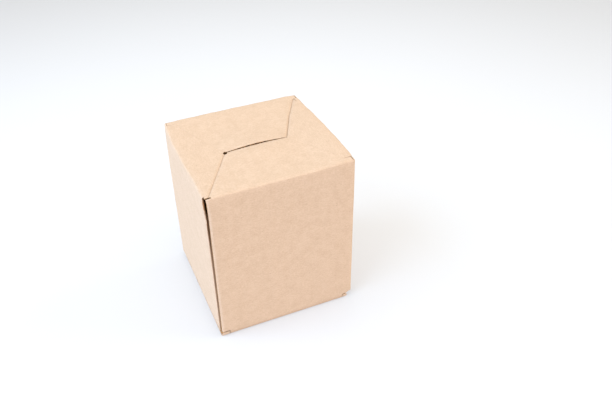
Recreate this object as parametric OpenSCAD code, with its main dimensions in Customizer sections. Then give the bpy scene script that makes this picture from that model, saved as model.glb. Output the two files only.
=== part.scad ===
// Closed corrugated carton. It stands on its tuck lid, with its self-locking base uppermost.
// Millimetres. The origin is the middle of the footprint, +Z is up, the front wall faces -Y.
// The glued joint of the wrap is the front left upright edge.

/* [Carton] */
// Length of the carton, left to right, over the walls
box_l = 100; // [80:1:160]
// Width of the carton, front to back, over the walls
box_w = 97.5; // [85:0.5:160]
// Height of the closed carton
box_h = 118; // [80:1:240]

/* [Board] */
// Thickness of the corrugated board
board_t = 3; // [2:0.1:4]
// Outside radius of every fold
fold_r = 3; // [1.5:0.1:4]
// Gap between boards that lie against each other and aren't glued
slip = 0.3; // [0.2:0.05:0.6]

/* [Glued joint] */
// Width of the glue flap behind the front wall
glue_w = 28; // [15:1:35]
// Length by which the glue flap is bevelled at each end
glue_bevel = 8; // [4:1:15]
// Set-back of the front wall's cut edge from the left wall, at the top
joint_gap_top = 2.5; // [0.5:0.1:4]
// Set-back of the same cut edge, at its foot
joint_gap_foot = 1; // [0.4:0.1:4]

/* [Self-locking base] */
// Depth of the back flap, from the back wall to the middle seam
back_flap_d = 53.6; // [45:0.1:62]
// Run of the middle seam towards the back, from its left end to its right end
seam_slant = 1.2; // [0:0.1:3]
// Distance of the middle seam's left end from the left wall
seam_left = 27.7; // [22:0.1:34]
// Distance of the middle seam's right end from the right wall
seam_right = 28; // [22:0.1:34]
// Opening of the seam between the base flaps
seam_w = 0.9; // [0.4:0.1:2]
// Diameter of the small gap at the left end of the middle seam
seam_hole_d = 2.4; // [1:0.1:4]
// Length by which a flap's tongue is tucked under the flap beside it
tuck_l = 15; // [10:1:20]
// Depth of the creases that run from the corners to the middle seam
crease_depth = 0.3; // [0.1:0.1:0.6]
// Width of those creases
crease_w = 1.6; // [1:0.1:3]

/* [Corner cuts] */
// Length of the cut that frees a flap at the glued corner
cut_glued_l = 7; // [5:0.5:10]
// Length of the cut that frees a flap at the far corner
cut_far_l = 7; // [5:0.5:10]
// Width of those two cuts
cut_w = 1.5; // [0.6:0.1:2]
// Distance of the far corner's cut from the back wall's outside
cut_far_start = 5.5; // [5:0.5:9]
// Length of the small cuts at the two other corners
cut_small_l = 3.5; // [2:0.5:6]
// Width of the small cuts
cut_small_w = 0.8; // [0.5:0.1:1.5]
// Distance of the small cuts from the outside of the front and the back wall
cut_small_in = 4.5; // [4:0.1:7]

/* [Tuck lid] */
// Height of the lid's tuck tongue
tongue_h = 16; // [12:1:20]
// Lean of the tongue away from the back wall, in degrees
tongue_lean = 6; // [5:0.5:9]
// Distance of the tongue's ends from the side walls
tongue_inset = 3; // [2:0.5:6]
// Radius of the tongue's free corners
tongue_corner_r = 8; // [4:1:10]
// Distance of the lid's side edges from the outside of the side walls
lid_side_gap = 0.8; // [0.5:0.1:2]
// Length of the step at each end of the lid's hinge fold
notch_l = 7; // [5:0.5:10]
// Height of the slit between lid and wall at those steps
notch_slit = 0.6; // [0.4:0.1:1.2]

/* [Dust flaps] */
// Length of each dust flap, from its wall
dust_l = 38; // [25:1:39]
// Distance from each dust flap to the front wall
dust_front_gap = 1.5; // [1:0.5:4]
// Distance from each dust flap to the back wall, where the tongue goes in
dust_back_gap = 7.5; // [7:0.5:12]
// Bevel of the free corners of the dust flaps
dust_bevel = 8; // [4:1:15]

/* [Hidden] */
$fn = 64;
kraft = [0.85, 0.69, 0.53];
kraft_lid = [0.82, 0.66, 0.50];
past = 1;
x_out = box_l / 2;
y_out = box_w / 2;
x_in = x_out - board_t;
y_in = y_out - board_t;
// Underside of the base flaps, and of what is tucked under them
flap_z = box_h - board_t;
tucked_z = flap_z - board_t;
// Underside of the dust flaps, which the closed lid covers
dust_z = board_t + slip;
dust_top = dust_z + board_t;
// Ends of the glue flap
glue_low = dust_top + slip;
glue_high = tucked_z - slip;
seam_mid = y_out - back_flap_d;
seam_a = [-x_out + seam_left, seam_mid - seam_slant / 2];
seam_b = [x_out - seam_right, seam_mid + seam_slant / 2];
seam_start = [-x_out + board_t + seam_w + cut_w / 2, -y_in + cut_w / 2];
seam_end = [x_in - cut_w / 2, y_out - cut_far_start];
// Half the gap between the two halves of the hinge fold, measured upwards
mitre_gap = 0.1;
dust_front = -y_in + dust_front_gap;
dust_back = y_in - dust_back_gap;
lid_back = y_in - slip;
// Gap between the hidden tabs and the walls, and the depth of a cut in the layer below
tab_clear = 1;
bite = 0.2;

// A straight strip from p to q with round ends
module strip(p, q, w) {
    run = q - p;
    translate(p) rotate(atan2(run[1], run[0])) {
        translate([0, -w / 2]) square([norm(run), w]);
        circle(d = w);
        translate([norm(run), 0]) circle(d = w);
    }
}

// The quarter that is missing from a rounded corner at the origin, which points to +x and +y
module corner_waste(r) {
    translate([-past, -past]) difference() {
        square(r + past);
        translate([r + past, r + past]) circle(r);
    }
}

// A profile drawn as y and z, drawn out along x between two places
module along_x(x0, x1) {
    translate([x0, 0, 0]) rotate([90, 0, 90]) linear_extrude(x1 - x0) children();
}

// A profile drawn as x and z, drawn out along y between two places
module along_y(y0, y1) {
    translate([0, y1, 0]) rotate([90, 0, 0]) linear_extrude(y1 - y0) children();
}

// Two copies, on the left and on the right
module both_sides() {
    children();
    mirror([1, 0, 0]) children();
}

// Waste of the upright folds, seen from above; the glued corner folds behind the front wall
module upright_waste() {
    both_sides() translate([x_out, y_out]) rotate(180) corner_waste(fold_r);
    translate([x_out, -y_out]) rotate(90) corner_waste(fold_r);
}

// The outside of the whole carton, with rounded folds
module outside() {
    difference() {
        translate([-x_out, -y_out, 0]) cube([box_l, box_w, box_h]);
        translate([0, 0, -past]) linear_extrude(box_h + 2 * past) upright_waste();
        along_x(-x_out - past, x_out + past) top_and_foot_waste();
        along_y(-y_out - past, y_out + past) both_sides_waste();
    }
}

// Waste of the folds along the front and the back
module top_and_foot_waste() {
    translate([y_out, box_h]) rotate(180) corner_waste(fold_r);
    translate([-y_out, box_h]) rotate(270) corner_waste(fold_r);
    translate([-y_out, 0]) corner_waste(fold_r);
}

// Waste of the top folds of the two side walls
module both_sides_waste() {
    translate([x_out, box_h]) rotate(180) corner_waste(fold_r);
    translate([-x_out, box_h]) rotate(270) corner_waste(fold_r);
}

// Room for what goes into the carton, down through the open lid
module cavity() {
    translate([-x_in, -y_in, -past]) cube([2 * x_in, 2 * y_in, flap_z + past]);
}

// Side walls end above the closed lid and fold round to the dust flaps
module foot_waste() {
    both_sides() {
        along_y(-y_out - past, y_out + past)
            translate([x_in - slip, -past]) square([board_t + slip + past, dust_z + past]);
        along_y(dust_front, dust_back) translate([x_out, dust_z]) rotate(90) corner_waste(fold_r);
        translate([x_out - notch_l, -y_out - past, -past])
            cube([notch_l + past, board_t + 2 * past, dust_z + notch_slit + past]);
    }
}

// The lid's half of the hinge fold, below a line at 45 degrees
module hinge_waste() {
    along_x(-x_out - past, x_out + past)
        polygon([[-y_out - past, -2 * past], [-y_out - past, mitre_gap - past],
                 [-y_in, board_t + mitre_gap], [-y_in + past, board_t + mitre_gap],
                 [-y_in + past, -2 * past]]);
}

// The open edge of the glued joint: a wedge in the front wall, and the fold behind it
module joint_waste() {
    along_y(-y_out - past, -y_in)
        polygon([[-x_out - past, -past], [-x_out + joint_gap_foot, -past],
                 [-x_out + joint_gap_foot, dust_top], [-x_out + joint_gap_top, box_h],
                 [-x_out + joint_gap_top, box_h + past], [-x_out - past, box_h + past]]);
    translate([-x_out, -y_in, -past]) linear_extrude(box_h + 2 * past) difference() {
        translate([-past, 0]) square([fold_r + past, fold_r]);
        translate([fold_r, fold_r]) circle(fold_r);
    }
    translate([-x_out - past, -y_in, -past]) cube([board_t + 2 * past, slip, glue_low + past]);
    translate([-x_out - past, -y_in, glue_high]) cube([board_t + 2 * past, slip, box_h]);
}

// The seam of the base: from the glued corner to the middle, along it, and out to the far corner
module seam() {
    translate([0, 0, flap_z - bite]) linear_extrude(board_t + past) {
        strip(seam_start, seam_a, seam_w);
        strip(seam_a, seam_b, seam_w);
        strip(seam_b, seam_end, seam_w);
    }
    translate([seam_a[0], seam_a[1], tucked_z - past]) cylinder(h = 2 * board_t + 2 * past, d = seam_hole_d);
}

// Cuts that free the base flaps at the four corners
module corner_cuts() {
    translate([0, 0, flap_z - bite]) linear_extrude(board_t + past) {
        translate([-x_out - past, -y_in]) square([cut_glued_l + past, cut_w]);
        translate([x_in - cut_w, y_out - cut_far_start - cut_far_l]) square([cut_w, cut_far_l]);
        translate([x_in - cut_small_l, -y_out + cut_small_in]) square([cut_small_l, cut_small_w]);
        translate([-x_in, y_out - cut_small_in - cut_small_w]) square([cut_small_l, cut_small_w]);
    }
}

// Plain cut tips of the two walls beside the longer corner cuts
module wall_tips() {
    tip_h = fold_r + past;
    translate([-x_out, -y_out, box_h - tip_h - slip]) cube([cut_glued_l, board_t, tip_h]);
    translate([x_in, y_out - cut_far_start - cut_far_l, box_h - tip_h - slip])
        cube([board_t, cut_far_l, tip_h]);
}

// Shallow creases of the two glued gussets
module creases() {
    translate([0, 0, box_h - crease_depth]) linear_extrude(board_t) {
        strip([-x_in + cut_small_l, y_out - cut_small_in], seam_a, crease_w);
        strip([x_in - cut_small_l, -y_out + cut_small_in], seam_b, crease_w);
    }
}

// What is tucked or glued under the base flaps: two gusset tabs and two locking tongues
module tucked_layer() {
    middle = (seam_a + seam_b) / 2;
    half = tuck_l / 2;
    x_tab = x_in - tab_clear;
    y_tab = y_in - tab_clear;
    translate([0, 0, tucked_z]) linear_extrude(board_t) {
        polygon([[-x_tab, half - y_tab], [half - x_tab, -y_tab], seam_a + [half, -half],
                 seam_a + [half, half], [-x_tab, y_tab - tuck_l]]);
        polygon([[x_tab, y_tab - half], [x_tab - half, y_tab], seam_b + [-half, half],
                 seam_b + [-half, -half], [x_tab, tuck_l - y_tab]]);
        translate([seam_a[0], middle[1] - half]) square([middle[0] - seam_a[0], half + tuck_l]);
        translate([middle[0], middle[1] - tuck_l]) square([seam_b[0] - middle[0], half + tuck_l]);
    }
}

// The flap glued behind the front wall, bevelled at both ends
module glue_flap() {
    along_y(-y_in, -y_in + board_t)
        polygon([[-x_in - slip, glue_low], [-x_in, glue_low],
                 [-x_in + glue_w, glue_low + glue_bevel], [-x_in + glue_w, glue_high - glue_bevel],
                 [-x_in, glue_high], [-x_in - slip, glue_high]]);
}

// The two flaps folded in from the side walls, under the lid
module dust_flaps() {
    tip = x_out - dust_l;
    both_sides() translate([0, 0, dust_z]) linear_extrude(board_t)
        polygon([[x_out, dust_front], [x_out, dust_back], [tip + dust_bevel, dust_back],
                 [tip, dust_back - dust_bevel], [tip, dust_front + dust_bevel],
                 [tip + dust_bevel, dust_front]]);
}

// Side view of the lid: the plate, the fold at its back and the leaning tongue
module lid_profile() {
    difference() {
        translate([-y_out, 0]) square([y_out + lid_back - fold_r, board_t]);
        translate([-y_out, 0]) corner_waste(fold_r);
        polygon([[-y_out - past, -past - mitre_gap], [-y_in + past, board_t + past - mitre_gap],
                 [-y_out - past, board_t + past]]);
    }
    tongue_profile();
}

// The fold and the tongue, which leans away from the back wall
module tongue_profile() {
    translate([lid_back - fold_r, fold_r]) {
        difference() {
            circle(fold_r);
            if (fold_r > board_t) circle(fold_r - board_t);
            translate([-2 * fold_r, -2 * fold_r]) square([2 * fold_r, 4 * fold_r]);
            rotate(tongue_lean) translate([-2 * fold_r, 0]) square([4 * fold_r, 2 * fold_r]);
        }
        rotate(tongue_lean) translate([fold_r - board_t, -slip])
            square([board_t, tongue_h - fold_r + slip]);
    }
}

// What the two free corners of the tongue lose
module tongue_corner_waste() {
    both_sides() along_y(y_in - tongue_h, y_in + past) {
        translate([x_in - tongue_inset, tongue_h]) rotate(180) corner_waste(tongue_corner_r);
        translate([x_in - tongue_inset, dust_z]) square([x_out, tongue_h + past]);
    }
}

module carton() {
    color(kraft) difference() {
        union() {
            difference() {
                union() {
                    difference() {
                        outside();
                        cavity();
                    }
                    dust_flaps();
                }
                foot_waste();
                hinge_waste();
            }
            wall_tips();
            tucked_layer();
            glue_flap();
        }
        joint_waste();
        seam();
        corner_cuts();
        creases();
    }
}

module tuck_lid() {
    color(kraft_lid) difference() {
        union() {
            along_x(-x_out + lid_side_gap, x_out - lid_side_gap) lid_profile();
            lid_ears();
        }
        tongue_corner_waste();
    }
}

// Plain cut ends of the lid beside the hinge fold
module lid_ears() {
    both_sides() translate([x_out - notch_l + slip, -y_out + slip, 0])
        cube([notch_l - slip - lid_side_gap, board_t + fold_r, board_t]);
}

carton();
tuck_lid();
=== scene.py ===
# %% [markdown]
# # A closed corrugated carton
# The carton stands on its tuck lid, with its self-locking base uppermost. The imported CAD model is
# loaded first and stays as a fixed frame: it says how big the carton is and which parts turn. The
# looks are built round it in millimetres, and turned into metres where a mesh is made.

# %% Load the frame
import math
import bpy
import numpy as np
from mathutils import Matrix, Vector
from mathutils.geometry import delaunay_2d_cdt


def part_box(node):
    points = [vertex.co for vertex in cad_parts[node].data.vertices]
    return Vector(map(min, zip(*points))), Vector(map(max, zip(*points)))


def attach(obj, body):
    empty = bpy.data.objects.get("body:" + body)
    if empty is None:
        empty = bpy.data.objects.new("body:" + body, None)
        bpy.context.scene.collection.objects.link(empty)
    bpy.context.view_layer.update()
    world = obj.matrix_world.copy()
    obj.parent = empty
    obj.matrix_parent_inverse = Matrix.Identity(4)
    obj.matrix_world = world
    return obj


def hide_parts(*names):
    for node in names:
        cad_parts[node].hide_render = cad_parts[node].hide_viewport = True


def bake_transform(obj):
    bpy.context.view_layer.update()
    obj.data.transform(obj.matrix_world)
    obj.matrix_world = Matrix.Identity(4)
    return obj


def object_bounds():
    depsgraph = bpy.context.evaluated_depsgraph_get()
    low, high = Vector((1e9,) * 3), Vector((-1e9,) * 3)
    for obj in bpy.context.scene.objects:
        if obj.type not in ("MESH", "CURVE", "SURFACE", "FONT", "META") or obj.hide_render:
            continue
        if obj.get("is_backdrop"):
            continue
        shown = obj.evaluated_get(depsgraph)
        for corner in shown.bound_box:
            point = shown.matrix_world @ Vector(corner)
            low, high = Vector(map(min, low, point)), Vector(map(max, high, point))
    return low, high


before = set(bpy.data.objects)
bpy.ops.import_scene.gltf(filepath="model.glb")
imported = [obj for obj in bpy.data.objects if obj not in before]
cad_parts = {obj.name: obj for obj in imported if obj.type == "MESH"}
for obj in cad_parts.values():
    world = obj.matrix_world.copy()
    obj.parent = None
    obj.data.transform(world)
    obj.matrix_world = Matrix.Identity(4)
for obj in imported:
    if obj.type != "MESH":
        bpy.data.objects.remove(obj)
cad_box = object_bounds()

MM = 0.001
carton_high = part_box("carton")[1]
X_OUT = carton_high[0] / MM
Y_OUT = carton_high[1] / MM
HEIGHT = carton_high[2] / MM
print("half length, half width, height in mm:", round(X_OUT, 2), round(Y_OUT, 2), round(HEIGHT, 2))

# %% [markdown]
# ## The camera
# The place and the lens come from the edges of the photographed carton: eight edges of a box of
# unknown proportions fix both. The camera stands half a metre away, looks down by 37 degrees and
# leans over by one degree.

# %% Camera
EYE = Vector((-0.1205, -0.3701, 0.3600))
LOOK = Vector((0.310, 0.734, -0.605)).normalized()
LEAN = math.radians(-0.98)
LENS_PX = 688
IMAGE_PX = 612


def camera_turn(look, lean):
    """The camera's rotation from its line of sight and its lean to one side."""
    level = look.cross(Vector((0, 0, 1))).normalized()
    upright = level.cross(look)
    right = level * math.cos(lean) + upright * math.sin(lean)
    return Matrix((right, right.cross(look), -look)).transposed().to_4x4()


camera = bpy.data.objects.new("camera", bpy.data.cameras.new("camera"))
camera.matrix_world = Matrix.Translation(EYE) @ camera_turn(LOOK, LEAN)
camera.data.sensor_width = 36
camera.data.lens = 36 * LENS_PX / IMAGE_PX
camera.data.clip_start = 0.01
camera.data.clip_end = 20
bpy.context.scene.collection.objects.link(camera)
bpy.context.scene.camera = camera
print("lens in mm:", round(camera.data.lens, 2))

# %% [markdown]
# ## The board
# Single-wall corrugated board is two flat liners with a wavy sheet, the fluting, glued between
# them. A solid slab would look wrong at every cut edge, so each board here is three thin closed
# sheets. A place in the board is given as on the flat blank: u along the waves, v along the
# flutes, and the depth below the outer face.

# %% Board measures
BOARD = 2.9
LINER = 0.35
FLUTING = 0.24
PITCH = 6.4
WAVE = (BOARD - 2 * LINER - FLUTING) / 2
FOLD = 1.3
TOP_R = 1.2
FOOT_R = 2.0
GLUE_FOLD = 0.6
CLEAR = 0.1
SLIP = 0.3
ARC_STEPS = 8


def waviness(u):
    """Depth of the middle of the fluting."""
    return BOARD / 2 + WAVE * np.sin(2 * math.pi * u / PITCH)


def bump(x, middle, reach):
    """1 in the middle, falling smoothly to 0 at reach to both sides."""
    t = np.clip(np.abs(x - middle) / reach, 0, 1)
    return (1 - t * t) ** 2


def profile(x, points):
    """The value at x of a line through the given points."""
    return np.interp(x, *zip(*points))


print("flutes round the carton:", round((4 * X_OUT + 4 * Y_OUT) / PITCH))

# %% [markdown]
# ## From an outline to a sheet
# A die cuts the blank from a flat sheet, so the sheet is made flat too. Its outline gets a point
# wherever it crosses a line of a grid, the grid's crossings inside it are added, and a Delaunay
# triangulation fills it. Only then is it bent, which keeps every cut edge exact.

# %% Points along an outline
def inside_distance(points, outline):
    """Distance of each point to the outline, negative outside it."""
    start = np.asarray(outline)
    end = np.roll(start, -1, axis=0)
    way = end - start
    to_point = points[:, None] - start
    share = np.clip((to_point * way).sum(2) / (way ** 2).sum(1), 0, 1)
    distance = np.linalg.norm(to_point - share[..., None] * way, axis=2).min(1)
    x, y = points[:, :1], points[:, 1:]
    spans = (start[:, 1] > y) != (end[:, 1] > y)
    rise = np.where(way[:, 1] == 0, 1, way[:, 1])
    left_of = x < start[:, 0] + (y - start[:, 1]) * way[:, 0] / rise
    return np.where((spans & left_of).sum(1) % 2 == 1, distance, -distance)


def cut_at_lines(outline, columns, rows):
    """The outline with a point wherever it crosses a column or a row."""
    points = []
    for start, end in zip(outline, outline[1:] + outline[:1]):
        start = np.array(start, float)
        way = np.array(end, float) - start
        shares = [0.0]
        for axis, lines in ((0, columns), (1, rows)):
            if abs(way[axis]) > 1e-6:
                crossed = (lines - start[axis]) / way[axis]
                shares += list(crossed[(crossed > 1e-3) & (crossed < 1 - 1e-3)])
        for share in sorted(shares):
            point = start + share * way
            if not points or np.abs(point - points[-1]).max() > 0.02:
                points.append(point)
    return points


square = [(0, 0), (10, 0), (10, 6), (0, 6)]
print("a trial outline has", len(cut_at_lines(square, np.arange(11), np.arange(7))), "points")


# %% Flat sheets
def rings_inside(edge, outline, distances):
    """Points that follow the cut edge at the given distances."""
    points = []
    for start, end in zip(edge, edge[1:] + edge[:1]):
        way = (end - start) / max(np.linalg.norm(end - start), 1e-6)
        inward = np.array([-way[1], way[0]])
        points += [(start + share * (end - start) + ring * inward, ring)
                   for ring in distances for share in (0.25, 0.75)]
    if not points:
        return np.zeros((0, 2))
    places = np.array([place for place, ring in points])
    wanted = np.array([ring for place, ring in points])
    return places[inside_distance(places, outline) > 0.97 * wanted]


def fill(outline, columns, rows, rings=()):
    """Points and triangles of a flat sheet, counter-clockwise, and the points' distances to its edge."""
    area = sum(a[0] * b[1] - b[0] * a[1] for a, b in zip(outline, outline[1:] + outline[:1]))
    outline = outline if area > 0 else outline[::-1]
    edge = cut_at_lines(outline, columns, rows)
    grid = np.array([(u, v) for u in columns for v in rows], float)
    grid = grid[inside_distance(grid, outline) > max(rings, default=0) + 0.35]
    grid = np.vstack((grid, rings_inside(edge, outline, rings)))
    given = [Vector(p) for p in edge] + [Vector(p) for p in grid]
    filled = delaunay_2d_cdt(given, [], [list(range(len(edge)))], 1, 1e-5)
    points = np.array([tuple(p) for p in filled[0]])
    return points, filled[2], np.maximum(inside_distance(points, outline), 0)


def spaced(start, end, step):
    """Even places from start to end, about a step apart."""
    return np.linspace(start, end, max(2, int(round(abs(end - start) / step)) + 1))


trial = fill(square, spaced(0, 10, 1), spaced(0, 6, 1))
print("a trial sheet has", len(trial[1]), "triangles")

# %% [markdown]
# ## From a sheet to a board
# Each of the three sheets is a closed slab between two depths. The die pinches the board where it
# cuts, so all depths close up a little towards a cut edge.

# %% Boards
OUTER, INNER, WAVY = 0, 1, 2
PINCH = 0.2
PINCH_REACH = 1.6
PINCH_RINGS = (0.5, 1.1, 1.7)


def slab(sheet, near, far, place):
    """Vertices, faces and sheet coordinates of the closed slab between two depths."""
    points, triangles, to_edge = sheet
    u, v = points.T
    pinch = PINCH * np.clip(1 - to_edge / PINCH_REACH, 0, 1) ** 2
    outer = place(u, v, near + pinch * (1 - 2 * near / BOARD))
    inner = place(u, v, far + pinch * (1 - 2 * far / BOARD))
    count = len(points)
    faces = [tuple(reversed(t)) for t in triangles]
    faces += [tuple(i + count for i in t) for t in triangles]
    ways = {(t[i], t[(i + 1) % 3]) for t in triangles for i in range(3)}
    for a, b in ways:
        if (b, a) not in ways:
            faces.append((a, b, b + count, a + count))
    return np.vstack((outer, inner)), faces, np.vstack((points, points))


def layers(outline, columns, rows, wavy_rows, place, pinched=True):
    """The three slabs of a board, each with its finish."""
    flat = fill(outline, columns, rows, PINCH_RINGS if pinched else ())
    low, high = min(p[0] for p in outline), max(p[0] for p in outline)
    wavy = fill(outline, spaced(low, high, PITCH / 8), wavy_rows)
    if not pinched:
        flat, wavy = [(sheet[0], sheet[1], np.full(len(sheet[0]), PINCH_REACH)) for sheet in (flat, wavy)]
    even = np.zeros(len(flat[0]))
    middle = waviness(wavy[0][:, 0])
    return [(OUTER, slab(flat, even, even + LINER, place)),
            (INNER, slab(flat, even + BOARD - LINER, even + BOARD, place)),
            (WAVY, slab(wavy, middle - FLUTING / 2, middle + FLUTING / 2, place))]


def board_object(name, slabs):
    """A mesh object from slabs, with its place on the flat blank kept as UV coordinates."""
    vertices, faces, sheet_places, finishes = [], [], [], []
    for finish, (points, made, flat) in slabs:
        faces += [tuple(i + len(vertices) for i in face) for face in made]
        finishes += [finish] * len(made)
        vertices += [tuple(p * MM) for p in points]
        sheet_places += [tuple(p * MM) for p in flat]
    mesh = bpy.data.meshes.new(name)
    mesh.from_pydata(vertices, [], faces)
    mesh.polygons.foreach_set("material_index", finishes)
    corners = np.zeros(len(mesh.loops), int)
    mesh.loops.foreach_get("vertex_index", corners)
    layer = mesh.uv_layers.new(name="sheet")
    layer.data.foreach_set("uv", np.array(sheet_places)[corners].ravel())
    mesh.polygons.foreach_set("use_smooth", [True] * len(mesh.polygons))
    mesh.set_sharp_from_angle(angle=math.radians(40))
    mesh.update()
    made = bpy.data.objects.new(name, mesh)
    bpy.context.scene.collection.objects.link(made)
    print(name, "has", len(mesh.polygons), "faces")
    return made


# %% [markdown]
# ## The way round the carton
# The wrap starts with the glue flap behind the front wall, and runs over the left, the back and
# the right wall to the front wall. Seen from above it turns right at every fold. Each leg is a
# length and, for a fold, a radius.

# %% Legs of the wrap
GLUE_FLAP = 30.0
LEFT_RUN = 2 * Y_OUT - BOARD - CLEAR - GLUE_FOLD - FOLD
BACK_RUN = 2 * X_OUT - 2 * FOLD
RIGHT_RUN = 2 * Y_OUT - 2 * FOLD
QUARTER = math.pi / 2
LEGS = [(GLUE_FLAP, 0), (QUARTER * GLUE_FOLD, GLUE_FOLD), (LEFT_RUN, 0), (QUARTER * FOLD, FOLD),
        (BACK_RUN, 0), (QUARTER * FOLD, FOLD), (RIGHT_RUN, 0), (QUARTER * FOLD, FOLD), (110, 0)]
STARTS = np.concatenate(([0], np.cumsum([length for length, radius in LEGS])))
GLUED_Y = -Y_OUT + BOARD + CLEAR


def round_the_carton(u, depth):
    """Place seen from above, from the distance along the wrap and the depth below its outer face."""
    seen = np.zeros((len(u), 2))
    corner = np.array([-X_OUT + GLUE_FOLD + GLUE_FLAP, GLUED_Y])
    heading = math.pi
    for (length, radius), start in zip(LEGS, STARTS):
        run = u - start
        here = run >= 0
        out = np.array([-math.sin(heading), math.cos(heading)])
        if radius:
            angle = heading - np.clip(run, 0, length) / radius
            turned = np.stack((-np.sin(angle), np.cos(angle)), 1)
            place = corner - radius * out + (radius - depth)[:, None] * turned
            heading -= length / radius
            corner = corner - radius * out + radius * np.array([-math.sin(heading), math.cos(heading)])
        else:
            way = np.array([math.cos(heading), math.sin(heading)])
            place = corner + run[:, None] * way - depth[:, None] * out
            corner = corner + length * way
        seen[here] = place[here]
    return seen


LEFT_START, BACK_START, RIGHT_START, FRONT_START = STARTS[2], STARTS[4], STARTS[6], STARTS[8]


def left(y):
    """Distance along the wrap of a place on the left wall."""
    return LEFT_START + y - GLUED_Y - GLUE_FOLD


def back(x):
    """Distance along the wrap of a place on the back wall."""
    return BACK_START + x + X_OUT - FOLD


def right(y):
    """Distance along the wrap of a place on the right wall."""
    return RIGHT_START + Y_OUT - FOLD - y


def front(x):
    """Distance along the wrap of a place on the front wall."""
    return FRONT_START + X_OUT - FOLD - x


print("the wrap is", round(front(-X_OUT)), "mm long")

# %% [markdown]
# ## The folds at the top and at the foot
# The walls fold in by a quarter circle to the flaps of the base, and the side walls to the dust
# flaps at the foot. Beside a dust flap the wall ends plain, so that fold applies only over the width
# of the flap. At the top the short tips beside the flaps are rolled in as well.

# %% Folded flaps
TOP_FOLD = HEIGHT - TOP_R
TOP_FLAT = TOP_FOLD + QUARTER * TOP_R
DUST_Z = BOARD + CLEAR + SLIP
FOOT_FOLD = DUST_Z + FOOT_R
FOOT_FLAT = FOOT_FOLD - QUARTER * FOOT_R
TIP_TOP = TOP_FLAT - 0.05
FLAP_END = 48.8
FRONT_FLAP_LEFT = -45.0
DUST_FRONT = -42.5
DUST_BACK = 38.25
EASE = 0.12
LEFT_WALL_FRONT = GLUED_Y + GLUE_FOLD + 0.05
FLAPS_FOOT = [(left(DUST_FRONT), left(DUST_BACK)), (right(DUST_BACK), right(DUST_FRONT))]


def within(u, spans):
    """True where u lies in one of the spans."""
    return sum(((u > low - EASE / 2) & (u < high + EASE / 2) for low, high in spans)).astype(bool)


def quarter_fold(v, depth, start, radius):
    """Distance in from the wall's outer face and rise above the start of the fold."""
    angle = np.clip((v - start) / radius, 0, QUARTER)
    past = np.maximum(v - start - QUARTER * radius, 0)
    inward = radius - (radius - depth) * np.cos(angle) + past
    rise = (radius - depth) * np.sin(angle)
    return inward, rise


def over_the_height(u, v, depth):
    """Distance in from the outer face of the wall, and height."""
    inward, height = depth.copy(), v.copy()
    top = v > TOP_FOLD
    inward_top, rise = quarter_fold(v, depth, TOP_FOLD, TOP_R)
    inward[top] = inward_top[top]
    height[top] = TOP_FOLD + rise[top]
    foot = within(u, FLAPS_FOOT) & (v < FOOT_FOLD)
    inward_foot, drop = quarter_fold(2 * FOOT_FOLD - v, depth, FOOT_FOLD, FOOT_R)
    inward[foot] = inward_foot[foot]
    height[foot] = FOOT_FOLD - drop[foot]
    return inward, height


print("board in each fold to the base:", round(TOP_FLAT - TOP_FOLD, 2), "mm")

# %% [markdown]
# ## Settling
# No real carton is flat. Its walls bow out a little and its front sags in, its folds are crushed
# thinner than the board, what is tucked below lifts the base at its middle seam and at its edges,
# and the glue flap gapes behind the glued joint, most at the top. All of that follows from the place
# on the blank, so the three sheets of the board bend together. A list of pairs is a profile: a place
# along an edge, and how far the board is moved there.

# %% The seam, the creases and the front wall's cut edge
SEAM_A = np.array([-22.3, -4.4])
SEAM_B = np.array([21.2, -3.5])
SEAM_BEND = np.array([33.6, 22.5])
HOLE_AT = np.array([-22.3, -4.85])
SEAM_LOW = np.array([-45.7, -45.0])
SEAM_HIGH = np.array([46.0, 43.0])
CREASE_X, CREASE_Y = 43.5, 43.85
CREASE_LEFT = np.array([-CREASE_X, CREASE_Y])
CREASE_RIGHT = np.array([CREASE_X, -CREASE_Y])
FRONT_EDGE_TOP = -X_OUT + 1.9
FRONT_EDGE_MIDDLE = -X_OUT + 1.6
FRONT_EDGE_FOOT = -X_OUT + 1.3
print("middle of the seam in mm:", round(float(np.linalg.norm(SEAM_B - SEAM_A)), 1))

# %% Unevenness and bow
WAVES = [(0.050, 61, 47, 0.4), (0.040, 37, 83, 2.1), (0.030, 23, 29, 4.0), (0.018, 13, 17, 1.3)]
CRUMPLES = [(0.6, 19.3, 1), (0.4, 8.1, 4)]
CRUMPLE = 0.16
CRUMPLE_REACH = 7
BOW = 0.35
FRONT_BOW = -0.5


def ripple(u, v):
    """Unevenness of the board's face, up to about a tenth of a millimetre."""
    return sum(height * np.sin(2 * math.pi * u / long_u + phase)
               * np.cos(2 * math.pi * v / long_v + 2 * phase)
               for height, long_u, long_v, phase in WAVES)


def crumple(u, v):
    """Unevenness of the folds round the base, where the board was creased."""
    waves = sum(share * np.sin(2 * math.pi * u / length + phase) for share, length, phase in CRUMPLES)
    return CRUMPLE * waves * bump(v, TOP_FOLD - 1, CRUMPLE_REACH)


def wall_bow(u, v):
    """How far the walls stand out between their folds."""
    rise = np.clip(1 - ((v - HEIGHT / 2) / (HEIGHT / 2)) ** 2, 0, 1)
    walls = [(left(-Y_OUT), left(Y_OUT), BOW), (back(-X_OUT), back(X_OUT), BOW),
             (right(Y_OUT), right(-Y_OUT), BOW), (front(X_OUT), front(-X_OUT), FRONT_BOW),
             (GLUE_FLAP + GLUE_FOLD - 2 * X_OUT, GLUE_FLAP + GLUE_FOLD, FRONT_BOW)]
    return sum(bow * rise * bump(u, (low + high) / 2, (high - low) / 2) for low, high, bow in walls)


print("walls bow out by", BOW, "mm and the front wall sags in by", -FRONT_BOW, "mm")

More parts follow.
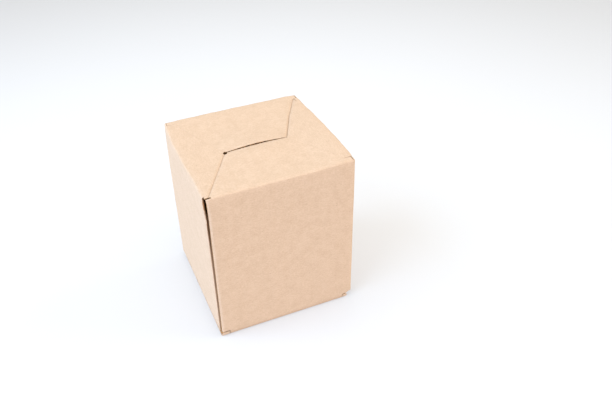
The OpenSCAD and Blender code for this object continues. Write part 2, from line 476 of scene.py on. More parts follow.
# %% How the base rises
DOME = 1.65
DOME_WIDTH = 17
LIFT_REACH = 0.66
EDGE_DIP = 0.8
DIP_WIDTH = 2.5
DIP_MIDDLE = 0.48
EDGE_REACH = 30
BACK_RISE = [(-49, 0.55), (-20, 0.75), (30, 0.75), (41, 0.6), (49, 0.3)]
FRONT_RISE = 0.5
RIGHT_RISE = [(-49, 1.2), (-38, 1.75), (-15, 1.55), (10, 1.2), (28, 0.4), (49, 0.1)]
CREASE_FILL = 0.8
SEAM_ROLL = 0.68
LOW_SEAM_SHARE = 0.65
SEAM_REACH = 1.7
FAR_SEAM_REACH = 2.5


def base_lift(x, y):
    """Rise of the base flaps by the middle seam: what is tucked below pushes them up there, and the
    front one's edge dips a little under the back one's."""
    along = (SEAM_B - SEAM_A) / np.linalg.norm(SEAM_B - SEAM_A)
    across = (x - SEAM_A[0]) * -along[1] + (y - SEAM_A[1]) * along[0]
    run = (x - SEAM_A[0]) * along[0] + (y - SEAM_A[1]) * along[1]
    span = np.linalg.norm(SEAM_B - SEAM_A)
    dome = DOME * np.exp(-(across / DOME_WIDTH) ** 2) * bump(run, span / 2, LIFT_REACH * span)
    dip = EDGE_DIP * np.exp(-(across / DIP_WIDTH) ** 2) * bump(run, DIP_MIDDLE * span, LIFT_REACH * span)
    return dome - np.where(across < 0, dip, 0)


def edge_rise(x, y):
    """Rise of the base at its back, front and right edges, which fades towards its middle."""
    at_back = profile(x, BACK_RISE) * bump(y, Y_OUT, EDGE_REACH)
    at_front = FRONT_RISE * bump(y, -Y_OUT, EDGE_REACH) * (1 - (x / X_OUT) ** 4)
    return at_back + at_front + profile(y, RIGHT_RISE) * bump(x, X_OUT, EDGE_REACH)


def beside_line(x, y, start, end, reach):
    """1 on a line between two points, falling to 0 at reach from it, short of its end."""
    way = end - start
    share = np.clip(((x - start[0]) * way[0] + (y - start[1]) * way[1]) / (way @ way), 0, 0.97)
    distance = np.hypot(x - start[0] - share * way[0], y - start[1] - share * way[1])
    return np.clip(1 - distance / reach, 0, 1) ** 2


def crease_fill(x, y):
    """Rise that fills most of the pinch along the two creases, less the roll of the two slanted seams."""
    creases = beside_line(x, y, CREASE_LEFT, SEAM_A, PINCH_REACH)
    creases = creases + beside_line(x, y, CREASE_RIGHT, SEAM_B, PINCH_REACH)
    seams = beside_line(x, y, SEAM_HIGH, SEAM_BEND, FAR_SEAM_REACH)
    seams = np.maximum(seams, beside_line(x, y, SEAM_BEND, SEAM_B, SEAM_REACH))
    seams = seams + LOW_SEAM_SHARE * beside_line(x, y, SEAM_LOW, SEAM_A, SEAM_REACH)
    return CREASE_FILL * PINCH * creases - SEAM_ROLL * seams


print("the base rises by", DOME, "mm at its seam")

# %% Crushed folds
CRUSH = 0.5
TOP_CRUSH = 0.5
GLUE_CRUSH = 0.67
FOOT_CRUSH = 0.1
CUT_CRUSH = 0.5
CRUSH_REACH = 6.0
CUT_TOP = TOP_FLAT + 0.3


def crushed(u, v, depth):
    """The depth, closed up at the folds and at the front wall's cut edge."""
    folds = [(STARTS[1], STARTS[2], GLUE_CRUSH)] + [(STARTS[i], STARTS[i + 1], CRUSH) for i in (3, 5, 7)]
    share = sum(much * bump(u, (low + high) / 2, CRUSH_REACH) for low, high, much in folds)
    share = share + TOP_CRUSH * bump(v, (TOP_FOLD + TOP_FLAT) / 2, CRUSH_REACH)
    share = share + CUT_CRUSH * bump(u, front(-X_OUT), CRUSH_REACH) * (v < CUT_TOP)
    share = share + FOOT_CRUSH * bump(v, (FOOT_FOLD + FOOT_FLAT) / 2, CRUSH_REACH) * within(u, FLAPS_FOOT)
    return depth * (1 - np.minimum(share, GLUE_CRUSH))


print("board in an upright fold:", round(BOARD * (1 - CRUSH), 2), "mm thick")

# %% The glued joint
GAPE = [(0, 0.5), (40, 0.9), (75, 1.3), (86, 2.4), (98, 5.0), (108, 7.5), (118, 8.0)]
GAPE_SHARE = [(8, 0), (20, 0.85), (28.9, 1), (GLUE_FLAP - 0.1, 0.1), (left(LEFT_WALL_FRONT), 0)]
CUT_ROLL = 0.8
CUT_ROLL_REACH = 1.6
GLUE_SIDE = [(0, 0.25), (24, 0.38), (97, 0.38), (104, 0.3), (108, 0.0), (112, -0.35), (118, -0.25)]
CUT_SIDE = [(0, 0.15), (24, 0.2), (104, 0.2), (107, 0.05), (113, 0.0), (115, -0.3), (118, -0.5)]
CORNER_REACH = 9
FRONT_EASE = 0.35
EASE_REACH = 9


def gape(u, z):
    """How far the glue flap and its fold stand back from the front wall."""
    return profile(u, GAPE_SHARE) * profile(z, GAPE)


def cut_roll(u, v):
    """How far the front wall's face rolls in at its cut edge."""
    to_edge = np.interp(v, [0, HEIGHT], [front(FRONT_EDGE_FOOT), front(FRONT_EDGE_TOP)]) - u
    return CUT_ROLL * np.clip(1 - np.abs(to_edge) / CUT_ROLL_REACH, 0, 1) ** 2 * (v < CUT_TOP)


def front_ease(u):
    """How far the front wall eases back towards its fold to the right wall."""
    in_fold = np.clip((u - STARTS[7]) / (FRONT_START - STARTS[7]), 0, 1)
    return FRONT_EASE * in_fold * np.clip(1 - (u - FRONT_START) / EASE_REACH, 0, 1) ** 2


def glued_corner(u, v):
    """How far the glued fold and the front wall's cut edge stand to the right of a straight corner."""
    at_fold = profile(v, GLUE_SIDE) * bump(u, left(LEFT_WALL_FRONT), CORNER_REACH)
    return at_fold + profile(v, CUT_SIDE) * bump(u, front(FRONT_EDGE_MIDDLE), CORNER_REACH)


print("the glue flap gapes by up to", GAPE[-1][1], "mm")

# %% Places in the wrap
RIGHT_OUT = [(-49, 0.1), (-30, 0.6), (0, 0.5), (25, 0.0), (40, -0.8), (49, -1.2)]
LEFT_IN = [(-49, 0.0), (-25, 0.0), (-10, -0.8), (20, -0.9), (38, 0.0), (49, 0.8)]


def wrap_place(u, v, depth):
    """Place in space of a place in the wrap."""
    lift = ripple(u, v) + crumple(u, v) + wall_bow(u, v) - cut_roll(u, v) - front_ease(u)
    inward, height = over_the_height(u, v, crushed(u, v, depth) - lift)
    ahead = np.where((v > HEIGHT) & (u < LEFT_START), u - LEFT_START, 0)
    seen = round_the_carton(u - ahead, inward)
    x, y = seen[:, 0], seen[:, 1] + ahead
    high = np.clip(v / HEIGHT, 0, 1) ** 6
    out = high * profile(y, RIGHT_OUT) * bump(x, X_OUT, EDGE_REACH)
    out = out + high * profile(y, LEFT_IN) * bump(x, -X_OUT, EDGE_REACH)
    out = out + np.where(v < HEIGHT + TOP_R, glued_corner(u, v), 0)
    height = height + high * edge_rise(x, y)
    height = height + np.where(v > HEIGHT, base_lift(x, y) + crease_fill(x, y), 0)
    open_by = np.where(v > TOP_FOLD, 0, gape(u, height))
    return np.stack((x + out, y + open_by, height), 1)


print("the right wall's top leans in by up to", -RIGHT_OUT[-1][1], "mm")

# %% [markdown]
# ## The outline of the wrap
# This is the cut blank, as the die leaves it: the foot with its notches and the dust flaps, the
# slanted edge of the front wall, and the four base flaps, whose slanted edges meet in the seam
# that shows on top. The base has creases from two corners; there the board is cut half through,
# so the flaps only touch.

# %% Lines of the base's seam
SEAM_LOW_HALF = 0.04
SEAM_HIGH_HALF = 0.07
MIDDLE_HALF = 0.3
CREASE_HALF = 0.03


def beside(start, end, distance):
    """A line as a point and a way, moved to the left of its way."""
    way = (end - start) / np.linalg.norm(end - start)
    return start + distance * np.array([-way[1], way[0]]), way


def crossing(first, second):
    """Where two lines cross."""
    (p, way_p), (q, way_q) = first, second
    shares = np.linalg.solve(np.stack((way_p, -way_q), 1), q - p)
    return p + shares[0] * way_p


def on_line(line, axis, value):
    """Where a line reaches a value of x or y."""
    p, way = line
    return p + (value - p[axis]) / way[axis] * way


left_of_low = beside(SEAM_LOW, SEAM_A, SEAM_LOW_HALF)
right_of_low = beside(SEAM_LOW, SEAM_A, -SEAM_LOW_HALF)
behind_middle = beside(SEAM_A, SEAM_B, MIDDLE_HALF)
before_middle = beside(SEAM_A, SEAM_B, -MIDDLE_HALF)
left_of_bend = beside(SEAM_B, SEAM_BEND, SEAM_HIGH_HALF)
right_of_bend = beside(SEAM_B, SEAM_BEND, -SEAM_HIGH_HALF)
left_of_high = beside(SEAM_BEND, SEAM_HIGH, SEAM_HIGH_HALF)
right_of_high = beside(SEAM_BEND, SEAM_HIGH, -SEAM_HIGH_HALF)
crease_left_inside = beside(CREASE_LEFT, SEAM_A, CREASE_HALF)
crease_left_outside = beside(CREASE_LEFT, SEAM_A, -CREASE_HALF)
crease_right_inside = beside(CREASE_RIGHT, SEAM_B, CREASE_HALF)
crease_right_outside = beside(CREASE_RIGHT, SEAM_B, -CREASE_HALF)
print("creases reach", CREASE_X, "mm to both sides")

# %% The four base flaps
HOLE = 1.4
FLAP_FRONT = -46.8
LEFT_FLAP_FRONT = -46.9
RELIEF_Y = 43.95
SIDE_FLAP_Y = 43.7
BACK_FLAP_Y = 43.5
RIGHT_FLAP_BACK = 43.2
SLIT_LEFT, SLIT_RIGHT, SLIT_FRONT, SLIT_BACK = 46.5, 46.9, 38.6, 42.9


def round_the_hole(points):
    """The outline of a flap, with its corner at the seam's left end cut back to a small round gap."""
    rounded = []
    for start, end in zip(points, points[1:] + points[:1]):
        inside_start = np.linalg.norm(start - HOLE_AT) < HOLE
        inside_end = np.linalg.norm(end - HOLE_AT) < HOLE
        if not inside_start:
            rounded.append(start)
        if inside_start == inside_end:
            continue
        way = end - start
        b = way @ (start - HOLE_AT)
        root = math.sqrt(b * b - way @ way * ((start - HOLE_AT) @ (start - HOLE_AT) - HOLE ** 2))
        share = (-b - root) / (way @ way) if inside_end else (-b + root) / (way @ way)
        rounded.append(start + share * way)
        if inside_end:
            first = rounded[-1]
        else:
            last = rounded.pop()
            turn = [math.atan2(*(p - HOLE_AT)[::-1]) for p in (first, last)]
            sweep = (turn[1] - turn[0] + math.pi) % (2 * math.pi) - math.pi
            for step in range(1, ARC_STEPS + 1):
                angle = turn[0] + sweep * step / ARC_STEPS
                rounded.append(HOLE_AT + HOLE * np.array([math.cos(angle), math.sin(angle)]))
    return rounded


front_flap = round_the_hole([
    np.array([FRONT_FLAP_LEFT, FLAP_FRONT]), on_line(right_of_low, 1, FLAP_FRONT),
    crossing(right_of_low, before_middle), crossing(before_middle, crease_right_inside),
    on_line(crease_right_inside, 1, -CREASE_Y),
    np.array([CREASE_X, -RELIEF_Y]), np.array([FLAP_END, -RELIEF_Y])])
right_flap = [
    np.array([FLAP_END, -SIDE_FLAP_Y]), np.array([CREASE_X, -SIDE_FLAP_Y]),
    on_line(crease_right_outside, 1, -43.75),
    crossing(crease_right_outside, right_of_bend), crossing(right_of_bend, right_of_high),
    on_line(right_of_high, 1, SLIT_BACK), np.array([SLIT_LEFT, SLIT_BACK]),
    np.array([SLIT_LEFT, SLIT_FRONT]), np.array([SLIT_RIGHT, SLIT_FRONT]),
    np.array([SLIT_RIGHT, RIGHT_FLAP_BACK])]
back_flap = round_the_hole([
    np.array([FLAP_END, BACK_FLAP_Y]), on_line(left_of_high, 1, BACK_FLAP_Y),
    crossing(left_of_high, left_of_bend), crossing(left_of_bend, behind_middle),
    crossing(behind_middle, crease_left_inside), on_line(crease_left_inside, 1, CREASE_Y),
    np.array([-CREASE_X, RELIEF_Y]), np.array([-FLAP_END, RELIEF_Y])])
left_flap = round_the_hole([
    np.array([-FLAP_END, SIDE_FLAP_Y]), np.array([-CREASE_X, SIDE_FLAP_Y]),
    on_line(crease_left_outside, 1, 43.75),
    crossing(crease_left_outside, left_of_low), on_line(left_of_low, 1, LEFT_FLAP_FRONT),
    np.array([-FLAP_END, LEFT_FLAP_FRONT]), np.array([-FLAP_END, LEFT_WALL_FRONT])])
print("points of the four base flaps:", [len(f) for f in (front_flap, right_flap, back_flap, left_flap)])

# %% The outline of the whole wrap
GLUE_LOW, GLUE_HIGH, GLUE_BEVEL, GLUE_BEVEL_RUN = 3.5, 111.7, 8.0, 18.0
GLUE_NOTCH, GLUE_NOTCH_WIDTH = 101.0, 7.0
NOTCH_X, NOTCH_Z = 43.0, DUST_Z + 0.6
SIDE_FOOT = -44.7
BACK_FOOT = 46.7
TIP_CUT = 0.9
DUST_REACH, DUST_BEVEL = 38.0, 8.0


def foot_of_side(across):
    """The foot of a side wall with its dust flap, in the order of rising y."""
    tip = FOOT_FLAT - (DUST_REACH - FOOT_R)
    outline = [(DUST_FRONT - EASE, DUST_Z), (DUST_FRONT - EASE, FOOT_FOLD), (DUST_FRONT, FOOT_FOLD),
               (DUST_FRONT, tip + DUST_BEVEL), (DUST_FRONT + DUST_BEVEL, tip),
               (DUST_BACK - DUST_BEVEL, tip), (DUST_BACK, tip + DUST_BEVEL), (DUST_BACK, FOOT_FOLD),
               (DUST_BACK + EASE, FOOT_FOLD), (DUST_BACK + EASE, DUST_Z)]
    return [(across(y), v) for y, v in outline]


def top_of_wall(flap, across, axis, hinge, sign):
    """A base flap on the blank: along the wall, and up from the fold by its distance from the wall."""
    edge = Y_OUT if axis == 1 else X_OUT
    outline = [(across(hinge[0]), TOP_FOLD)]
    outline += [(across(p[1 - axis]), TOP_FLAT + edge - TOP_R - sign * p[axis]) for p in flap]
    outline += [(across(hinge[1]), TOP_FOLD)]
    return outline


foot = [(0, GLUE_LOW + GLUE_BEVEL), (GLUE_BEVEL_RUN, GLUE_LOW), (GLUE_FLAP, GLUE_LOW)]
foot += [(left(SIDE_FOOT), NOTCH_Z)] + foot_of_side(left)
foot += [(back(-BACK_FOOT), DUST_Z), (back(-BACK_FOOT), 0), (back(BACK_FOOT), 0), (back(BACK_FOOT), DUST_Z)]
foot += foot_of_side(right)[::-1][:-1]
foot += [(right(DUST_FRONT - EASE), 6.0), (right(-45.5), 5.8), (front(47.5), 5.0), (front(45.8), NOTCH_Z),
         (front(NOTCH_X), NOTCH_Z), (front(NOTCH_X), FOOT_R), (front(-NOTCH_X), FOOT_R),
         (front(-NOTCH_X), NOTCH_Z), (front(FRONT_EDGE_FOOT), NOTCH_Z)]
top = [(front(FRONT_EDGE_TOP), TIP_TOP - 0.4), (front(FRONT_FLAP_LEFT) + EASE, TIP_TOP - 0.6),
       (front(FRONT_FLAP_LEFT) + EASE, TOP_FOLD)]
top += top_of_wall(front_flap, front, 1, (FRONT_FLAP_LEFT, FLAP_END), -1)
top += [(front(FLAP_END) - EASE, TOP_FOLD), (front(FLAP_END) - EASE, TIP_TOP - TIP_CUT),
        (front(FLAP_END) - EASE - TIP_CUT, TIP_TOP),
        (right(-SIDE_FLAP_Y) + EASE, TIP_TOP), (right(-SIDE_FLAP_Y) + EASE, TOP_FOLD)]
top += top_of_wall(right_flap, right, 0, (-SIDE_FLAP_Y, RIGHT_FLAP_BACK), 1)
top += [(right(RIGHT_FLAP_BACK) - EASE, TOP_FOLD), (right(RIGHT_FLAP_BACK) - EASE, TIP_TOP - 0.7),
        (right(RIGHT_FLAP_BACK) - EASE - TIP_CUT, TIP_TOP),
        (back(FLAP_END) + EASE, TIP_TOP), (back(FLAP_END) + EASE, TOP_FOLD)]
top += top_of_wall(back_flap, back, 1, (FLAP_END, -FLAP_END), 1)
top += [(back(-FLAP_END) - EASE, TOP_FOLD), (back(-FLAP_END) - EASE, TIP_TOP),
        (left(SIDE_FLAP_Y) + EASE, TIP_TOP), (left(SIDE_FLAP_Y) + EASE, TOP_FOLD)]
top += top_of_wall(left_flap, left, 0, (SIDE_FLAP_Y, LEFT_WALL_FRONT), -1)
top += [(left(LEFT_WALL_FRONT) - 0.05, TOP_FOLD - 0.6), (GLUE_FLAP, TOP_FOLD - 0.6),
        (GLUE_FLAP, GLUE_NOTCH), (GLUE_FLAP - GLUE_NOTCH_WIDTH, GLUE_NOTCH),
        (GLUE_FLAP - GLUE_NOTCH_WIDTH, GLUE_HIGH - 2),
        (0, GLUE_HIGH - GLUE_BEVEL)]
wrap_outline = foot + top
print("the blank has", len(wrap_outline), "corners")

# %% [markdown]
# ## The boards that are tucked under the base
# The base locks because tabs and tongues are tucked under its flaps. They show only as the dark
# bottom of the seam, and from inside through the open lid, so each is a flat board of its own just
# below the flaps. The tabs come from the side walls, turned by their crease, so their flutes run
# slantwise.

# %% Tucked boards
TUCK_TOP = HEIGHT - BOARD - 0.12
TAB_GAP = 2.2
TAB_TURN = math.radians(46)
TUCK_REACH = 0.8 * 44
TUCK_DIP_WIDTH = 3
TUCK_STEP = 6
TUCK_WAVY_STEP = 8


def tucked_place(turn):
    """The place of a board that lies tucked under the base, with its flutes turned."""
    def place(u, v, depth):
        x = u * math.cos(turn) + v * math.sin(turn)
        y = u * math.sin(turn) - v * math.cos(turn)
        dip = EDGE_DIP * np.exp(-((y - SEAM_A[1]) / TUCK_DIP_WIDTH) ** 2) * bump(x, 0, TUCK_REACH)
        return np.stack((x, y, TUCK_TOP + (base_lift(x, y) - dip) - depth), 1)
    return place


def tucked_board(corners, turn):
    """The three slabs of a tucked board."""
    turned = [(x * math.cos(turn) + y * math.sin(turn), x * math.sin(turn) - y * math.cos(turn))
              for x, y in corners]
    us, vs = zip(*turned)
    return layers(turned, spaced(min(us), max(us), TUCK_STEP), spaced(min(vs), max(vs), TUCK_STEP),
                  spaced(min(vs), max(vs), TUCK_WAVY_STEP), tucked_place(turn))


TONGUE_LOW, TONGUE_TOP = -19.5, 10
tab_edge = SEAM_A[0] - TAB_GAP
tongue_edge = SEAM_A[0] + TAB_GAP
tab_left = [(-46, -37.2), (-38.5, -44.7), (tab_edge, -23.5), (tab_edge, 9), (-46, 29.7)]
tab_right = [(46, 37.2), (38.5, 44.7), (22.4, 16), (22.4, -20), (46, -29.7)]
tongue_back = [(tongue_edge, TONGUE_TOP), (tongue_edge, TONGUE_LOW), (-0.4, TONGUE_LOW), (-0.4, TONGUE_TOP)]
tongue_front = [(0.1, TONGUE_TOP), (0.1, TONGUE_LOW), (21.9, TONGUE_LOW), (21.9, TONGUE_TOP)]
tucked = tucked_board(tab_left, TAB_TURN) + tucked_board(tab_right, TAB_TURN)
tucked += tucked_board(tongue_back, 0) + tucked_board(tongue_front, 0)
print("tucked boards:", len(tucked) // 3)

# %% [markdown]
# ## The wrap
# The columns are close at the upright folds and the rows at the other folds, where the board turns.
# On the flat parts a point each few millimetres is enough for the gentle unevenness.

# %% Build the wrap
COLUMN_STEP = 3.4
ROW_STEP = 3.8
FOLD_STEP = 0.6
WAVY_STEP = 11
WAVY_FOLD_STEP = 1.2
FLAP_ROOM = 60


def lines_of_folds(length, folds, wide, narrow):
    """Grid lines from 0 to length that are wide apart, and narrow within each fold."""
    lines = [0.0]
    for low, high in folds:
        lines += list(spaced(lines[-1], low, wide))[1:]
        lines += list(spaced(low, high, narrow))[1:]
    return np.array(lines + list(spaced(lines[-1], length, wide))[1:])


upright_folds = [(STARTS[1] - 4, STARTS[2])] + [(STARTS[i], STARTS[i + 1]) for i in (3, 5, 7)]
columns = lines_of_folds(front(-X_OUT) + 1, upright_folds, COLUMN_STEP, FOLD_STEP)
foot_low = FOOT_FLAT - DUST_REACH
level_run = TOP_FLAT + FLAP_ROOM - foot_low
level_folds = [(FOOT_FLAT - foot_low, FOOT_FOLD - foot_low), (TOP_FOLD - foot_low, TOP_FLAT - foot_low)]
rows = foot_low + lines_of_folds(level_run, level_folds, ROW_STEP, FOLD_STEP)
wavy_rows = foot_low + lines_of_folds(level_run, level_folds, WAVY_STEP, WAVY_FOLD_STEP)
wrap = layers(wrap_outline, columns, rows, wavy_rows, wrap_place)
carton_board = board_object("carton_board", wrap + tucked)

# %% [markdown]
# ## The tuck lid
# The lid is the same sheet, hinged along the front wall's foot. Its plate covers the dust flaps,
# its ears fill the notches beside the hinge, and its tongue is tucked in at the back wall. It turns
# with its own body, so it is a board of its own.

# %% Build the lid
LID_HALF = X_OUT - 0.8
HINGE_Y = -Y_OUT + FOOT_R
LID_FOLD = Y_OUT - BOARD - CLEAR - SLIP - FOOT_R - HINGE_Y
EAR_RISE = 1.15
EAR_RIGHT = X_OUT - 3.7
LID_CRUSH = 0.15
LID_UNEVEN = 0.5
LEAN_BACK = math.radians(6)
LID_TURN = QUARTER + LEAN_BACK
TONGUE_HALF = 44.0
TONGUE_HIGH = 16.0
TONGUE_CORNER = 8.0


def lid_place(u, v, depth):
    """Place in space of a place on the lid: u from left to right, v from the hinge to the tongue's tip."""
    on_tongue = np.abs(u) < TONGUE_HALF + EASE / 2
    depth = depth * (1 - LID_CRUSH * bump(v, LID_FOLD + FOOT_R * LID_TURN / 2, CRUSH_REACH) * on_tongue)
    depth = depth * (1 - LID_CRUSH * bump(v, -FOOT_R * QUARTER / 2, CRUSH_REACH))
    depth = depth + LID_UNEVEN * np.abs(ripple(u + 90, v + 40)) * bump(v, LID_FOLD / 2, LID_FOLD / 2)
    turned_up = on_tongue & (v > LID_FOLD)
    angle = np.clip((v - LID_FOLD) / FOOT_R, 0, LID_TURN)
    past = np.maximum(v - LID_FOLD - FOOT_R * LID_TURN, 0)
    tongue_y = HINGE_Y + LID_FOLD + (FOOT_R - depth) * np.sin(angle) + past * np.cos(angle)
    tongue_z = FOOT_R - (FOOT_R - depth) * np.cos(angle) + past * np.sin(angle)
    in_ear = v < 0
    ear_angle = np.clip(-v / FOOT_R, 0, QUARTER)
    ear_past = np.maximum(-v - FOOT_R * QUARTER, 0)
    ear_y = HINGE_Y - (FOOT_R - depth) * np.sin(ear_angle)
    ear_z = FOOT_R - (FOOT_R - depth) * np.cos(ear_angle) + ear_past
    y = np.where(turned_up, tongue_y, np.where(in_ear, ear_y, HINGE_Y + v))
    z = np.where(turned_up, tongue_z, np.where(in_ear, ear_z, depth))
    return np.stack((u, y, z), 1)


def lid_outline():
    """The lid as it is cut."""
    tip = LID_FOLD + FOOT_R * LID_TURN + TONGUE_HIGH - FOOT_R
    ears = -FOOT_R * QUARTER - EAR_RISE
    plate_end = LID_FOLD + FOOT_R - CLEAR
    half = [(LID_HALF, plate_end), (TONGUE_HALF + EASE, plate_end), (TONGUE_HALF + EASE, LID_FOLD),
            (TONGUE_HALF, LID_FOLD), (TONGUE_HALF, tip - TONGUE_CORNER)]
    for step in range(1, ARC_STEPS + 1):
        angle = QUARTER * step / ARC_STEPS
        half.append((TONGUE_HALF - TONGUE_CORNER * (1 - math.cos(angle)),
                     tip - TONGUE_CORNER * (1 - math.sin(angle))))
    ear_start = NOTCH_X + SLIP
    ear_right = [(ear_start, 0), (ear_start, ears), (EAR_RIGHT, ears), (EAR_RIGHT, 0), (LID_HALF, 7)]
    ear_left = [(-LID_HALF, -1.5), (-LID_HALF + 0.8, ears), (-ear_start, ears), (-ear_start, 0)]
    return ear_right + half + [(-x, v) for x, v in reversed(half)] + ear_left


EAR_ROOM = 5.4
TONGUE_ROOM = 30
lid_folds = [(0.1, EAR_ROOM), (LID_FOLD + EAR_ROOM, LID_FOLD + EAR_ROOM + FOOT_R * LID_TURN)]
lid_rows = lines_of_folds(LID_FOLD + TONGUE_ROOM, lid_folds, ROW_STEP, FOLD_STEP) - EAR_ROOM
lid_wavy_rows = lines_of_folds(LID_FOLD + TONGUE_ROOM, lid_folds, WAVY_STEP, WAVY_FOLD_STEP) - EAR_ROOM
lid_board = board_object("lid_board", layers(
    lid_outline(), spaced(-LID_HALF, LID_HALF, COLUMN_STEP), lid_rows, lid_wavy_rows, lid_place))

# %% [markdown]
# ## The hinge fold
# Where the lid turns, the board of the wrap runs on into the lid. A strip of board over the fold
# joins the wall to the lid. It stays fixed in place and rides on neither body. It isn't
# pinched, because it runs on into the wall and the lid.

# %% Build the hinge fold
HINGE_HALF = 43.0
HINGE_STEP = 0.4


def hinge_place(u, v, depth):
    """Place in space of a place on the hinge fold: u from left to right, v from the wall to the lid."""
    angle = v / FOOT_R
    left_over = FOOT_R - depth * (1 - LID_CRUSH * bump(v, FOOT_R * QUARTER / 2, FOOT_R * QUARTER / 2))
    return np.stack((u, HINGE_Y - left_over * np.cos(angle), FOOT_R - left_over * np.sin(angle)), 1)


HINGE_RUN = FOOT_R * QUARTER
hinge_corners = [(-HINGE_HALF, 0), (HINGE_HALF, 0), (HINGE_HALF, HINGE_RUN), (-HINGE_HALF, HINGE_RUN)]
hinge_rows = spaced(0, HINGE_RUN, HINGE_STEP)
hinge_crease = board_object("hinge_crease", layers(
    hinge_corners, spaced(-HINGE_HALF, HINGE_HALF, COLUMN_STEP), hinge_rows, hinge_rows[::2], hinge_place,
    pinched=False))

# %% Which piece stands for which part, and what it rides on
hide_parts("carton")
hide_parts("tuck_lid")
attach(carton_board, "carton")
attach(lid_board, "lid")
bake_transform(hinge_crease)

# %% [markdown]
# ## Writing shader maths
# A material is a graph of nodes. To read it as maths, one small class wraps a node's output and
# turns plus, minus and times into Math nodes. One method adds any other node.

# %% Wires between nodes
class Wire:
    """A node's output in a material, which takes part in sums."""

    def __init__(self, tree, socket=None):
        self.tree = tree
        self.socket = socket

    def node(self, kind, settings, values, output=0):
        """A node of a kind: its settings are made first, then its sockets get values or wires."""
        made = self.tree.nodes.new(kind)
        for name, value in settings.items():
            setattr(made, name, value)
        for name, value in values.items():
            if isinstance(value, Wire):
                self.tree.links.new(value.socket, made.inputs[name])
            else:
                made.inputs[name].default_value = value
        return Wire(self.tree, made.outputs[output] if made.outputs else None)

    def maths(self, operation, first, second):
        return self.node("ShaderNodeMath", {"operation": operation}, {0: first, 1: second})

    def __add__(self, other):
        return self.maths("ADD", self, other)

    def __sub__(self, other):
        return self.maths("SUBTRACT", self, other)

    def __rsub__(self, other):
        return self.maths("SUBTRACT", other, self)

    def __mul__(self, other):
        return self.maths("MULTIPLY", self, other)

    __radd__ = __add__
    __rmul__ = __mul__

    def between(self, low, high):
        """0 below low, 1 above high and a smooth step between them."""
        return self.node("ShaderNodeMapRange", {"interpolation_type": "SMOOTHSTEP"},
                         {"Value": self, "From Min": low, "From Max": high})

    def mix(self, first, second):
        """The colour between two others that this wire's value gives."""
        return self.node("ShaderNodeMix", {"data_type": "RGBA"}, {0: self, 6: first, 7: second}, output=2)


def material(name):
    """A new material and its shader and start wire."""
    made = bpy.data.materials.new(name)
    made.use_nodes = True
    made.node_tree.nodes.clear()
    start = Wire(made.node_tree)
    shader = start.node("ShaderNodeBsdfPrincipled", {}, {})
    start.node("ShaderNodeOutputMaterial", {}, {"Surface": shader})
    return made, start, shader.socket.node


def feed(start, shader, name, value):
    """Feeds a shader's socket with a wire or a constant."""
    if isinstance(value, Wire):
        start.tree.links.new(value.socket, shader.inputs[name])
    else:
        shader.inputs[name].default_value = value


# %% [markdown]
# ## Kraft paper
# Kraft liner is unbleached paper. Close up it has long pulp fibres that lie along the web, which
# runs round the carton, cloudy patches where the pulp was denser, and a few dark specks. The flutes
# underneath show through as faint upright bands. All of it is laid out on the blank's own
# coordinates, so it follows the board round its folds.

# %% Kraft
FIBRE_SHARE = 0.38


def on_sheet(start):
    """The place on the flat blank."""
    return start.node("ShaderNodeUVMap", {"uv_map": "sheet"}, {})


def sheet_noise(start, scale_u, scale_v, detail, roughness, offset=0.0):
    """Noise on the flat blank, with its own scale along the waves and along the flutes, per metre."""
    placed = start.node("ShaderNodeMapping", {}, {
        "Vector": on_sheet(start), "Location": (offset, offset, 0), "Scale": (scale_u, scale_v, 1)})
    return start.node("ShaderNodeTexNoise", {"noise_dimensions": "2D"}, {
        "Vector": placed, "Scale": 1.0, "Detail": detail, "Roughness": roughness})


def kraft(name, dark, light, mottle, flutes, roughness):
    """A kraft paper: two colours, how cloudy it is, how much the flutes show, and its roughness."""
    made, start, shader = material(name)
    clouds = sheet_noise(start, 110, 150, 4.0, 0.65)
    fibres = sheet_noise(start, 260, 1900, 5.0, 0.7, 3.1)
    grain = sheet_noise(start, 800, 1000, 3.0, 0.7, 7.7)
    specks = sheet_noise(start, 420, 1300, 1.0, 0.5, 11.3)
    shade = clouds * mottle + fibres * FIBRE_SHARE + grain * (1 - FIBRE_SHARE - mottle)
    paper = shade.between(0.34, 0.66).mix(dark, light)
    speck = specks.between(0.77, 0.83)
    dirt = (speck * 0.35).mix(paper, tuple(0.45 * c for c in dark[:3]) + (1,))
    feed(start, shader, "Base Color", dirt)
    feed(start, shader, "Roughness", roughness + fibres * 0.12 - 0.06)
    feed(start, shader, "Specular IOR Level", 0.3)
    along = start.node("ShaderNodeSeparateXYZ", {}, {"Vector": on_sheet(start)})
    wave = start.maths("SINE", along * (2 * math.pi / (PITCH * MM)), 0.0)
    height = wave * flutes + fibres * 0.05 + grain * 0.02 + clouds * 0.10
    bumped = start.node("ShaderNodeBump", {}, {"Strength": 1.0, "Distance": MM, "Height": height})
    feed(start, shader, "Normal", bumped)
    return made


outer_kraft = kraft("outer_kraft", (0.463, 0.329, 0.226, 1), (0.553, 0.403, 0.290, 1), 0.22, 0.03, 0.86)
inner_kraft = kraft("inner_kraft", (0.40, 0.22, 0.10, 1), (0.48, 0.275, 0.13, 1), 0.30, 0.022, 0.92)
fluting_kraft = kraft("fluting_kraft", (0.43, 0.215, 0.08, 1), (0.53, 0.28, 0.11, 1), 0.30, 0.0, 0.94)
for piece in (carton_board, lid_board, hinge_crease):
    for paper in (outer_kraft, inner_kraft, fluting_kraft):
        piece.data.materials.append(paper)
print("papers:", [paper.name for paper in carton_board.data.materials])
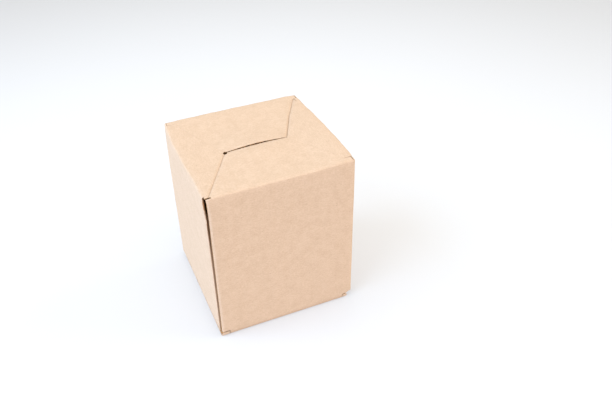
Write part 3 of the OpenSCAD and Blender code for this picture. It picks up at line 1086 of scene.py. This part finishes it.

# %% [markdown]
# ## The floor and the light
# The carton stands in a bright studio on a white table. Light comes from large soft lamps: a strong
# bluish one from the left, a warm low one in front, a whiter one from the right, and two weak ones,
# a warm one high behind on the left and one behind. They leave only very soft shadows. The table
# also glows a little, a painted light that fills in the shadows on it, and its colour and glow are
# painted greyer away from the carton, a painted falloff of the light.

# %% Floor
floor_mesh = bpy.data.meshes.new("floor")
FLOOR_HALF = 3.0
FLOOR_STEPS = 12
floor_row = FLOOR_STEPS + 1
floor_steps = np.linspace(-FLOOR_HALF, FLOOR_HALF, floor_row)
floor_points = [(x, y, 0.0) for y in floor_steps for x in floor_steps]
floor_firsts = [floor_row * j + i for j in range(FLOOR_STEPS) for i in range(FLOOR_STEPS)]
floor_faces = [(k, k + 1, k + floor_row + 1, k + floor_row) for k in floor_firsts]
floor_mesh.from_pydata(floor_points, [], floor_faces)
floor = bpy.data.objects.new("floor", floor_mesh)
bpy.context.scene.collection.objects.link(floor)
floor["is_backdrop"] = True
table_with_painted_light, start, shader = material("table_with_painted_light")
PAINTED_FALLOFF_START, PAINTED_FALLOFF_END = 0.18, 0.85
spot = start.node("ShaderNodeTexCoord", {}, {}, output=3)
away = start.node("ShaderNodeVectorMath", {"operation": "LENGTH"}, {"Vector": spot}, output=1)
# Painted falloff: the table's colour and glow both darken with distance from the carton, where the lamps'
# light would fall off.
far = away.between(PAINTED_FALLOFF_START, PAINTED_FALLOFF_END)
feed(start, shader, "Base Color", far.mix((0.40, 0.40, 0.40, 1), (0.28, 0.28, 0.28, 1)))
# Painted glow: the table shines by itself, and this lightens the shadows on it.
feed(start, shader, "Emission Color", far.mix((0.285, 0.29, 0.31, 1), (0.187, 0.175, 0.172, 1)))
feed(start, shader, "Emission Strength", 1.0)
feed(start, shader, "Roughness", 0.75)
floor_mesh.materials.append(table_with_painted_light)
print("floor is", 2 * FLOOR_HALF, "m wide")


# %% Lights
def soft_lamp(name, place, aim, size, power, colour):
    """A square area lamp that shines from place to aim."""
    lamp = bpy.data.lights.new(name, "AREA")
    lamp.shape = "SQUARE"
    lamp.size = size
    lamp.energy = power
    lamp.color = colour
    made = bpy.data.objects.new(name, lamp)
    made.location = place
    made.rotation_euler = (Vector(aim) - Vector(place)).to_track_quat("-Z", "Y").to_euler()
    bpy.context.scene.collection.objects.link(made)
    return made


MIDDLE = (0, 0, 0.06)
soft_lamp("top_lamp", (-0.35, 0.35, 1.7), MIDDLE, 1.8, 6.7, (1.0, 0.72, 0.22))
soft_lamp("left_lamp", (-1.6, -0.1, 0.85), MIDDLE, 2.2, 70, (0.56, 0.74, 1.0))
soft_lamp("front_lamp", (0.2, -1.7, 0.4), MIDDLE, 1.4, 15.2, (1.0, 0.78, 0.70))
soft_lamp("right_lamp", (1.6, -0.3, 0.9), MIDDLE, 1.4, 21.8, (0.935, 0.974, 1.0))
soft_lamp("back_lamp", (0.2, 1.7, 1.0), MIDDLE, 1.4, 1.5, (1.0, 0.97, 0.95))
world = bpy.data.worlds.new("studio")
world.use_nodes = True
world.node_tree.nodes["Background"].inputs["Color"].default_value = (0.978, 0.978, 0.95, 1)
world.node_tree.nodes["Background"].inputs["Strength"].default_value = 1.0
bpy.context.scene.world = world
bpy.context.scene.view_settings.view_transform = "Standard"

# %% [markdown]
# ## The size
# The looks may not change the size: the box of the CAD model and the box of what shows are written
# down side by side.

# %% Sizes and finish
visual_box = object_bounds()
for corner, seen in zip(cad_box, visual_box):
    print("CAD corner in mm", [round(c / MM, 2) for c in corner], "visual", [round(c / MM, 2) for c in seen])
